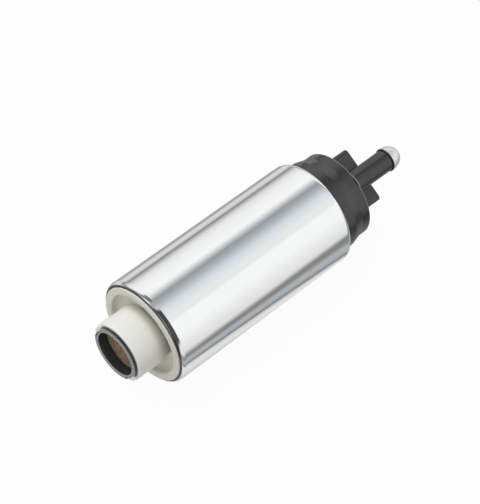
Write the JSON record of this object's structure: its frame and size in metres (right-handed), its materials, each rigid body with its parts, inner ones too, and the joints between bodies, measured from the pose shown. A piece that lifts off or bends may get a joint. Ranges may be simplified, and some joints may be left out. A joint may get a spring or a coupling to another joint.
{
  "type": "in-tank fuel pump",
  "caption": "Cylindrical in-tank fuel pump with a centred inlet tube, a rolled steel shell, and an outlet cap with an offset barbed tube and connector shroud.",
  "frame": {"origin": "centre of the inlet mouth, on the axis, in the plane of the strainer ring's front face", "axes": "+X along the pump's axis from inlet to outlet, +Z towards the side that the outlet tube stands on, the pump lying on its shell"},
  "size_m": [0.1241, 0.039, 0.039],
  "materials": {
    "plated_steel": "bright zinc-nickel plating, slightly satin",
    "white_acetal": "natural white moulding",
    "dark_ring": "dark grey, smooth",
    "brass_mesh": "fine woven wire",
    "sintered_steel": "sintered, ground faces",
    "ground_steel": "ground",
    "sintered_bronze": "oil-filled sintered bronze",
    "washer_plastic": "smooth",
    "lamination_steel": "stacked sheets, lacquered",
    "insulator_plastic": "epoxy coating",
    "enamelled_copper": "enamelled wire",
    "phenolic": "moulded",
    "copper": "bare copper",
    "ferrite": "ground ferrite",
    "spring_steel": "drawn wire and strip",
    "soft_steel": "plain tube",
    "carbon": "pressed carbon",
    "tinned_brass": "tin plated",
    "seal_rubber": "fuel-proof rubber",
    "black_plastic": "fine moulded texture, slight sheen",
    "bright_tip": "bright turned metal",
    "poppet_plastic": "smooth"
  },
  "bodies": {
    "housing": {"shell": "plated_steel", "inlet_cap": "white_acetal", "strainer_ring": "dark_ring", "inlet_screen": "brass_mesh", "cam_ring": "sintered_steel", "port_plate": "sintered_steel", "locating_pins": "ground_steel", "thrust_pad": "ground_steel", "lower_bearing": "sintered_bronze", "upper_bearing": "sintered_bronze", "magnet_left": "ferrite", "magnet_right": "ferrite", "magnet_clips": "spring_steel", "flux_ring": "soft_steel", "brush_spring_left": "spring_steel", "brush_spring_right": "spring_steel", "brush_lead_left": "copper", "brush_lead_right": "copper", "terminal_left": "tinned_brass", "terminal_right": "tinned_brass", "cap_seal": "seal_rubber", "outlet_cap": "black_plastic", "outlet_tip": "bright_tip", "check_spring": "spring_steel", "relief_spring": "spring_steel", "relief_plug": "tinned_brass"},
    "armature": {"armature_shaft": "ground_steel", "thrust_washer": "washer_plastic", "armature_core": "lamination_steel", "slot_insulator": "insulator_plastic", "windings": "enamelled_copper", "commutator_hub": "phenolic", "commutator_segments": "copper", "inner_rotor": "sintered_steel"},
    "outer_rotor": {"outer_rotor": "sintered_steel"},
    "brush_left": {"brush_left": "carbon"},
    "brush_right": {"brush_right": "carbon"},
    "check_poppet": {"check_poppet": "poppet_plastic"},
    "relief_ball": {"relief_ball": "ground_steel"}
  },
  "joints": [
    {"name": "armature_spin", "type": "hinge", "parent": "housing", "child": "armature", "pos_m": [0.05, 0, 0], "axis": [1, 0, 0], "continuous": true},
    {"name": "outer_rotor_spin", "type": "hinge", "parent": "housing", "child": "outer_rotor", "pos_m": [0.025, 0, 0.0012], "axis": [1, 0, 0], "continuous": true},
    {"name": "brush_left_slide", "type": "slide", "parent": "housing", "child": "brush_left", "axis": [1, 0, 0], "range_m": [0, 0.0015], "stiffness_N_per_m": 150, "springref_m": -0.005, "deforming": ["brush_spring_left", "brush_lead_left"]},
    {"name": "brush_right_slide", "type": "slide", "parent": "housing", "child": "brush_right", "axis": [1, 0, 0], "range_m": [0, 0.0015], "stiffness_N_per_m": 150, "springref_m": -0.005, "deforming": ["brush_spring_right", "brush_lead_right"]},
    {"name": "check_valve_lift", "type": "slide", "parent": "housing", "child": "check_poppet", "axis": [1, 0, 0], "range_m": [0, 0.0025], "stiffness_N_per_m": 100, "springref_m": -0.002, "deforming": ["check_spring"]},
    {"name": "relief_valve_lift", "type": "slide", "parent": "housing", "child": "relief_ball", "axis": [1, 0, 0], "range_m": [0, 0.0015], "stiffness_N_per_m": 400, "springref_m": -0.002, "deforming": ["relief_spring"]}
  ],
  "couplings": [
    {"joint": "outer_rotor_spin", "follows": "armature_spin", "ratio": 0.85714}
  ]
}
